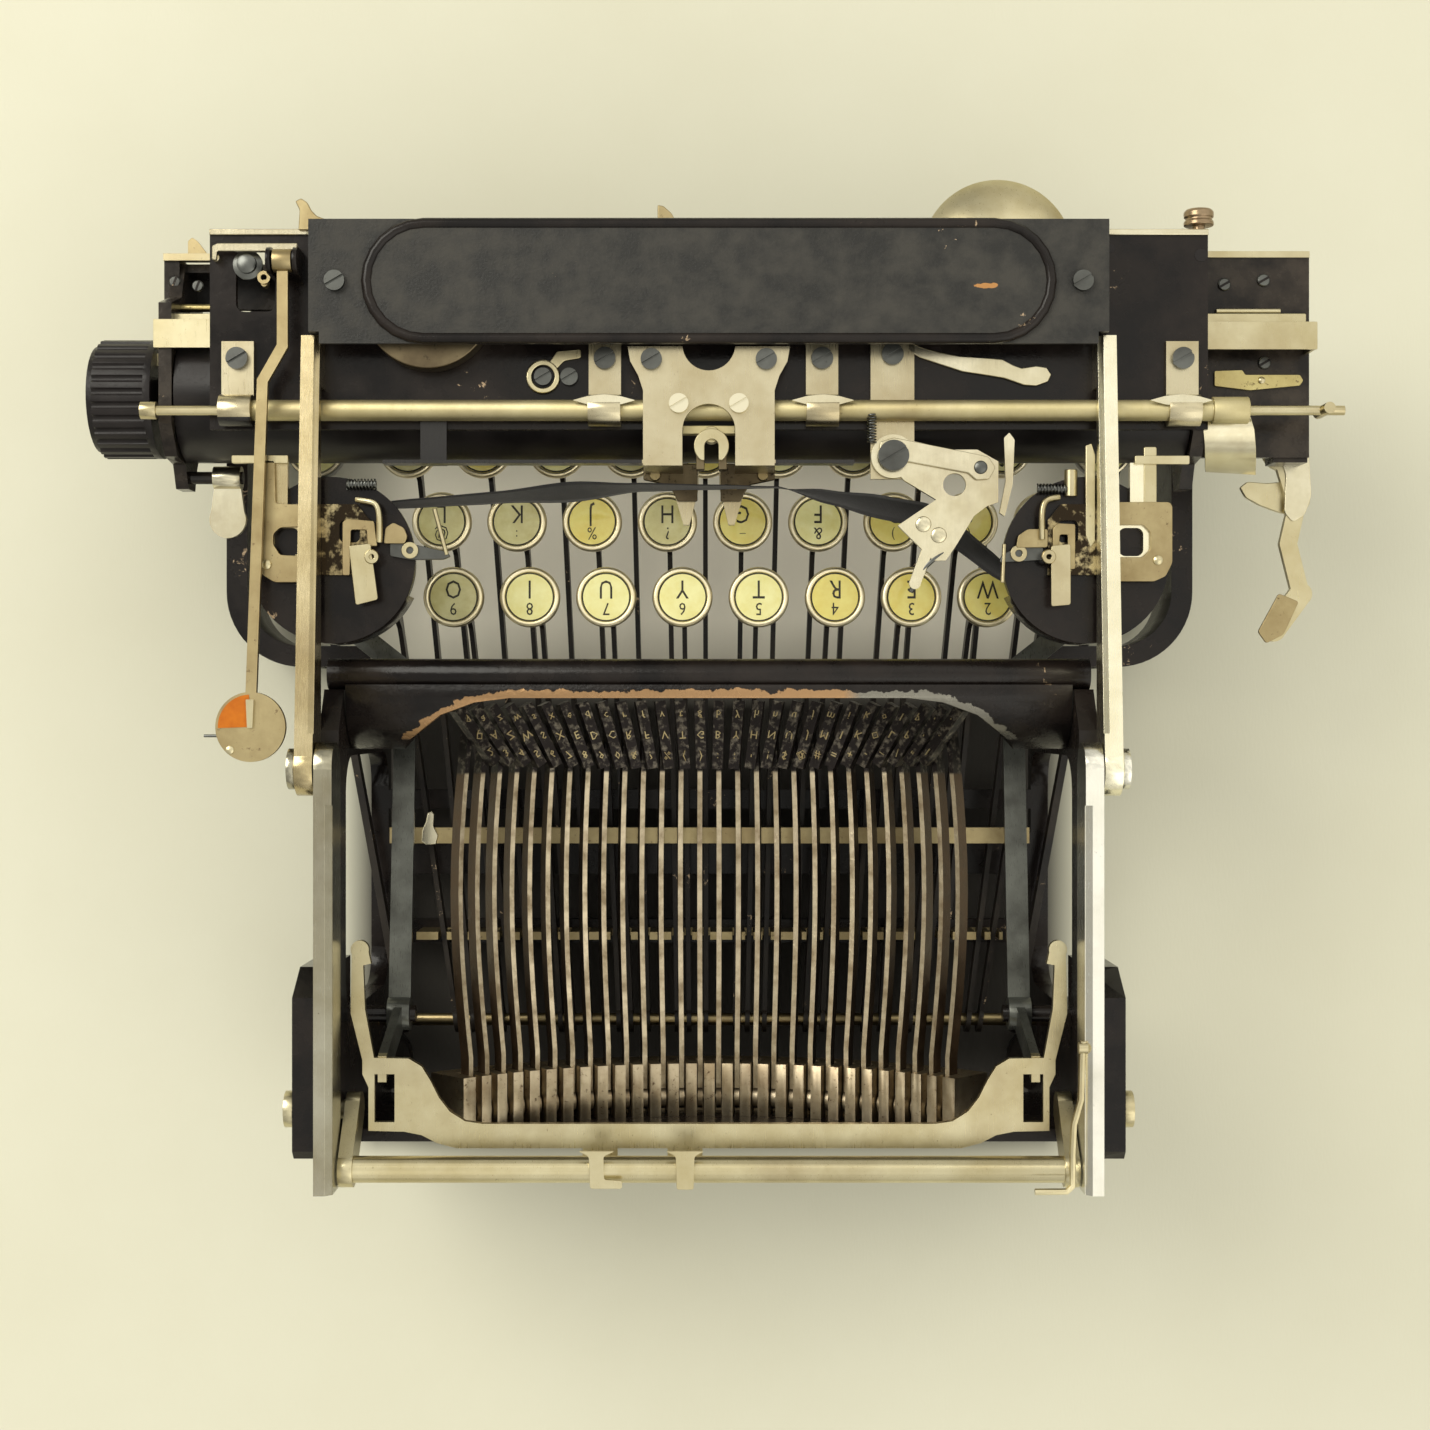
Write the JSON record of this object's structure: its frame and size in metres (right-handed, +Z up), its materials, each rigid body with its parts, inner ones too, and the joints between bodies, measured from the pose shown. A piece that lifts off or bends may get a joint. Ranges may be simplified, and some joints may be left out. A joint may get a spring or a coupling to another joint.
{
  "type": "folding portable typewriter",
  "caption": "Folding portable typewriter, carriage folded forward over a three-bank keyboard, with round glass keys, a fan of typebars, nickel arms and a platen.",
  "frame": {"origin": "centre of the bounding box on the table under the feet, machine folded", "axes": "+X to the operator's right, +Y to the rear, +Z up"},
  "size_m": [0.29, 0.2291, 0.102],
  "materials": {
    "black_enamel": "glossy black enamel, chipped on the edges",
    "nickel": "aged nickel plate, warm and slightly dull",
    "segment_steel": "worn bare steel",
    "typebar_steel": "tarnished steel with dirty type",
    "lever_steel": "grey tarnished steel",
    "key_steel": "nickel ring, pale yellow card, dark lever",
    "foot_rubber": "matt black rubber",
    "platen_rubber": "smooth black rubber",
    "ribbon_cloth": "inked cotton"
  },
  "bodies": {
    "base": {"base_casting": "black_enamel", "type_rest": "black_enamel", "type_segment": "segment_steel", "typebars": "typebar_steel", "lever_comb": "segment_steel", "side_rails": "nickel", "rubber_feet": "foot_rubber"},
    "strike_typebar": {"strike_typebar": "typebar_steel"},
    "shift": {"shift_frame": "lever_steel"},
    "space": {"space_bar": "black_enamel"},
    "bail": {"latch_bail": "nickel"},
    "frame": {"carriage_arms": "nickel", "frame_plate": "black_enamel", "back_cover": "black_enamel", "rail_tube": "nickel", "rail_brackets": "nickel", "frame_screws": "nickel", "bell": "nickel", "spool_cups": "black_enamel", "ribbon": "ribbon_cloth"},
    "vibrator": {"vibrator_lever": "nickel"},
    "reverse": {"reverse_rod": "nickel"},
    "drum": {"spring_drum": "segment_steel"},
    "left_spool": {"left_spool": "lever_steel"},
    "right_spool": {"right_spool": "lever_steel"},
    "color": {"color_lever": "nickel"},
    "carriage": {"carriage_truck": "black_enamel", "carriage_rail": "nickel", "paper_table": "black_enamel"},
    "platen": {"platen": "platen_rubber"},
    "line_space": {"line_space_lever": "nickel"},
    "release": {"release_lever": "nickel"},
    "key_q": {"key_q": "key_steel"},
    "key_w": {"key_w": "key_steel"},
    "key_e": {"key_e": "key_steel"},
    "key_r": {"key_r": "key_steel"},
    "key_t": {"key_t": "key_steel"},
    "key_y": {"key_y": "key_steel"},
    "key_u": {"key_u": "key_steel"},
    "key_i": {"key_i": "key_steel"},
    "key_o": {"key_o": "key_steel"},
    "key_p": {"key_p": "key_steel"},
    "key_a": {"key_a": "key_steel"},
    "key_s": {"key_s": "key_steel"},
    "key_d": {"key_d": "key_steel"},
    "key_f": {"key_f": "key_steel"},
    "key_g": {"key_g": "key_steel"},
    "key_h": {"key_h": "key_steel"},
    "key_j": {"key_j": "key_steel"},
    "key_k": {"key_k": "key_steel"},
    "key_l": {"key_l": "key_steel"},
    "key_z": {"key_z": "key_steel"},
    "key_x": {"key_x": "key_steel"},
    "key_c": {"key_c": "key_steel"},
    "key_v": {"key_v": "key_steel"},
    "key_b": {"key_b": "key_steel"},
    "key_n": {"key_n": "key_steel"},
    "key_m": {"key_m": "key_steel"},
    "key_comma": {"key_comma": "key_steel"},
    "key_period": {"key_period": "key_steel"}
  },
  "joints": [
    {"name": "fold_hinge", "type": "hinge", "parent": "base", "child": "frame", "pos_m": [0, 0.0196, 0.096], "axis": [-1, 0, 0], "range_deg": [0, 180]},
    {"name": "carriage_slide", "type": "slide", "parent": "frame", "child": "carriage", "axis": [1, 0, 0], "range_m": [-0.09, 0.09]},
    {"name": "platen_turn", "type": "hinge", "parent": "carriage", "child": "platen", "pos_m": [0, -0.0675, 0.065], "axis": [1, 0, 0], "continuous": true},
    {"name": "line_space_swing", "type": "hinge", "parent": "carriage", "child": "line_space", "pos_m": [-0.1375, -0.056, 0.061], "axis": [0, 0, -1], "range_deg": [0, 30], "stiffness_Nm_per_rad": 0.1, "springref_deg": -8.59},
    {"name": "release_press", "type": "hinge", "parent": "carriage", "child": "release", "pos_m": [0.1157, -0.0495, 0.0595], "axis": [-1, 0, 0], "range_deg": [0, 18], "stiffness_Nm_per_rad": 0.05, "springref_deg": -11.46},
    {"name": "color_select", "type": "hinge", "parent": "frame", "child": "color", "pos_m": [0.0961, -0.095, 0.093], "axis": [1, 0, 0], "range_deg": [0, 4]},
    {"name": "left_spool_turn", "type": "hinge", "parent": "frame", "child": "left_spool", "pos_m": [-0.086, -0.0278, 0.078], "axis": [0, 0, 1], "continuous": true},
    {"name": "right_spool_turn", "type": "hinge", "parent": "frame", "child": "right_spool", "pos_m": [0.086, -0.0278, 0.078], "axis": [0, 0, 1], "continuous": true},
    {"name": "reverse_slide", "type": "slide", "parent": "frame", "child": "reverse", "axis": [1, 0, 0], "range_m": [-0.004, 0.004]},
    {"name": "vibrator_swing", "type": "hinge", "parent": "frame", "child": "vibrator", "pos_m": [-0.042, -0.0515, 0.087], "axis": [0, 0, 1], "range_deg": [-4, 4]},
    {"name": "drum_turn", "type": "hinge", "parent": "frame", "child": "drum", "pos_m": [0.0637, -0.0856, 0.088], "axis": [0, 0, 1], "range_deg": [-400, 400]},
    {"name": "shift_press", "type": "hinge", "parent": "base", "child": "shift", "pos_m": [0, 0.08, 0.054], "axis": [1, 0, 0], "range_deg": [0, 4.5], "stiffness_Nm_per_rad": 2, "springref_deg": -3.44},
    {"name": "space_press", "type": "hinge", "parent": "base", "child": "space", "pos_m": [0, 0.086, 0.02], "axis": [1, 0, 0], "range_deg": [0, 2.4], "stiffness_Nm_per_rad": 2, "springref_deg": -6.88},
    {"name": "bail_press", "type": "hinge", "parent": "base", "child": "bail", "pos_m": [0, 0.0983, 0.082], "axis": [1, 0, 0], "range_deg": [0, 12], "stiffness_Nm_per_rad": 0.2, "springref_deg": -11.46},
    {"name": "typebar_strike", "type": "hinge", "parent": "base", "child": "strike_typebar", "pos_m": [-0.00235, 0.1029, 0.03723], "axis": [-0.9997, 0, 0.0262], "range_deg": [0, 79.2]},
    {"name": "press_q", "type": "hinge", "parent": "base", "child": "key_q", "pos_m": [0, 0.086, 0.02], "axis": [1, 0, 0], "range_deg": [0, 5], "stiffness_Nm_per_rad": 0.15, "springref_deg": -6.88},
    {"name": "press_w", "type": "hinge", "parent": "base", "child": "key_w", "pos_m": [0, 0.086, 0.02], "axis": [1, 0, 0], "range_deg": [0, 5], "stiffness_Nm_per_rad": 0.15, "springref_deg": -6.88},
    {"name": "press_e", "type": "hinge", "parent": "base", "child": "key_e", "pos_m": [0, 0.086, 0.02], "axis": [1, 0, 0], "range_deg": [0, 5], "stiffness_Nm_per_rad": 0.15, "springref_deg": -6.88},
    {"name": "press_r", "type": "hinge", "parent": "base", "child": "key_r", "pos_m": [0, 0.086, 0.02], "axis": [1, 0, 0], "range_deg": [0, 5], "stiffness_Nm_per_rad": 0.15, "springref_deg": -6.88},
    {"name": "press_t", "type": "hinge", "parent": "base", "child": "key_t", "pos_m": [0, 0.086, 0.02], "axis": [1, 0, 0], "range_deg": [0, 5], "stiffness_Nm_per_rad": 0.15, "springref_deg": -6.88},
    {"name": "press_y", "type": "hinge", "parent": "base", "child": "key_y", "pos_m": [0, 0.086, 0.02], "axis": [1, 0, 0], "range_deg": [0, 5], "stiffness_Nm_per_rad": 0.15, "springref_deg": -6.88},
    {"name": "press_u", "type": "hinge", "parent": "base", "child": "key_u", "pos_m": [0, 0.086, 0.02], "axis": [1, 0, 0], "range_deg": [0, 5], "stiffness_Nm_per_rad": 0.15, "springref_deg": -6.88},
    {"name": "press_i", "type": "hinge", "parent": "base", "child": "key_i", "pos_m": [0, 0.086, 0.02], "axis": [1, 0, 0], "range_deg": [0, 5], "stiffness_Nm_per_rad": 0.15, "springref_deg": -6.88},
    {"name": "press_o", "type": "hinge", "parent": "base", "child": "key_o", "pos_m": [0, 0.086, 0.02], "axis": [1, 0, 0], "range_deg": [0, 5], "stiffness_Nm_per_rad": 0.15, "springref_deg": -6.88},
    {"name": "press_p", "type": "hinge", "parent": "base", "child": "key_p", "pos_m": [0, 0.086, 0.02], "axis": [1, 0, 0], "range_deg": [0, 5], "stiffness_Nm_per_rad": 0.15, "springref_deg": -6.88},
    {"name": "press_a", "type": "hinge", "parent": "base", "child": "key_a", "pos_m": [0, 0.086, 0.02], "axis": [1, 0, 0], "range_deg": [0, 5], "stiffness_Nm_per_rad": 0.15, "springref_deg": -6.88},
    {"name": "press_s", "type": "hinge", "parent": "base", "child": "key_s", "pos_m": [0, 0.086, 0.02], "axis": [1, 0, 0], "range_deg": [0, 5], "stiffness_Nm_per_rad": 0.15, "springref_deg": -6.88},
    {"name": "press_d", "type": "hinge", "parent": "base", "child": "key_d", "pos_m": [0, 0.086, 0.02], "axis": [1, 0, 0], "range_deg": [0, 5], "stiffness_Nm_per_rad": 0.15, "springref_deg": -6.88},
    {"name": "press_f", "type": "hinge", "parent": "base", "child": "key_f", "pos_m": [0, 0.086, 0.02], "axis": [1, 0, 0], "range_deg": [0, 5], "stiffness_Nm_per_rad": 0.15, "springref_deg": -6.88},
    {"name": "press_g", "type": "hinge", "parent": "base", "child": "key_g", "pos_m": [0, 0.086, 0.02], "axis": [1, 0, 0], "range_deg": [0, 5], "stiffness_Nm_per_rad": 0.15, "springref_deg": -6.88},
    {"name": "press_h", "type": "hinge", "parent": "base", "child": "key_h", "pos_m": [0, 0.086, 0.02], "axis": [1, 0, 0], "range_deg": [0, 5], "stiffness_Nm_per_rad": 0.15, "springref_deg": -6.88},
    {"name": "press_j", "type": "hinge", "parent": "base", "child": "key_j", "pos_m": [0, 0.086, 0.02], "axis": [1, 0, 0], "range_deg": [0, 5], "stiffness_Nm_per_rad": 0.15, "springref_deg": -6.88},
    {"name": "press_k", "type": "hinge", "parent": "base", "child": "key_k", "pos_m": [0, 0.086, 0.02], "axis": [1, 0, 0], "range_deg": [0, 5], "stiffness_Nm_per_rad": 0.15, "springref_deg": -6.88},
    {"name": "press_l", "type": "hinge", "parent": "base", "child": "key_l", "pos_m": [0, 0.086, 0.02], "axis": [1, 0, 0], "range_deg": [0, 5], "stiffness_Nm_per_rad": 0.15, "springref_deg": -6.88},
    {"name": "press_z", "type": "hinge", "parent": "base", "child": "key_z", "pos_m": [0, 0.086, 0.02], "axis": [1, 0, 0], "range_deg": [0, 4.5], "stiffness_Nm_per_rad": 0.15, "springref_deg": -6.88},
    {"name": "press_x", "type": "hinge", "parent": "base", "child": "key_x", "pos_m": [0, 0.086, 0.02], "axis": [1, 0, 0], "range_deg": [0, 4.5], "stiffness_Nm_per_rad": 0.15, "springref_deg": -6.88},
    {"name": "press_c", "type": "hinge", "parent": "base", "child": "key_c", "pos_m": [0, 0.086, 0.02], "axis": [1, 0, 0], "range_deg": [0, 4.5], "stiffness_Nm_per_rad": 0.15, "springref_deg": -6.88},
    {"name": "press_v", "type": "hinge", "parent": "base", "child": "key_v", "pos_m": [0, 0.086, 0.02], "axis": [1, 0, 0], "range_deg": [0, 4.5], "stiffness_Nm_per_rad": 0.15, "springref_deg": -6.88},
    {"name": "press_b", "type": "hinge", "parent": "base", "child": "key_b", "pos_m": [0, 0.086, 0.02], "axis": [1, 0, 0], "range_deg": [0, 4.5], "stiffness_Nm_per_rad": 0.15, "springref_deg": -6.88},
    {"name": "press_n", "type": "hinge", "parent": "base", "child": "key_n", "pos_m": [0, 0.086, 0.02], "axis": [1, 0, 0], "range_deg": [0, 4.5], "stiffness_Nm_per_rad": 0.15, "springref_deg": -6.88},
    {"name": "press_m", "type": "hinge", "parent": "base", "child": "key_m", "pos_m": [0, 0.086, 0.02], "axis": [1, 0, 0], "range_deg": [0, 4.5], "stiffness_Nm_per_rad": 0.15, "springref_deg": -6.88},
    {"name": "press_comma", "type": "hinge", "parent": "base", "child": "key_comma", "pos_m": [0, 0.086, 0.02], "axis": [1, 0, 0], "range_deg": [0, 4.5], "stiffness_Nm_per_rad": 0.15, "springref_deg": -6.88},
    {"name": "press_period", "type": "hinge", "parent": "base", "child": "key_period", "pos_m": [0, 0.086, 0.02], "axis": [1, 0, 0], "range_deg": [0, 4.5], "stiffness_Nm_per_rad": 0.15, "springref_deg": -6.88}
  ],
  "couplings": [
    {"joint": "drum_turn", "follows": "carriage_slide", "rad_per_m": 74},
    {"joint": "right_spool_turn", "follows": "left_spool_turn", "ratio": 1},
    {"joint": "typebar_strike", "follows": "press_g", "ratio": 15.8}
  ]
}
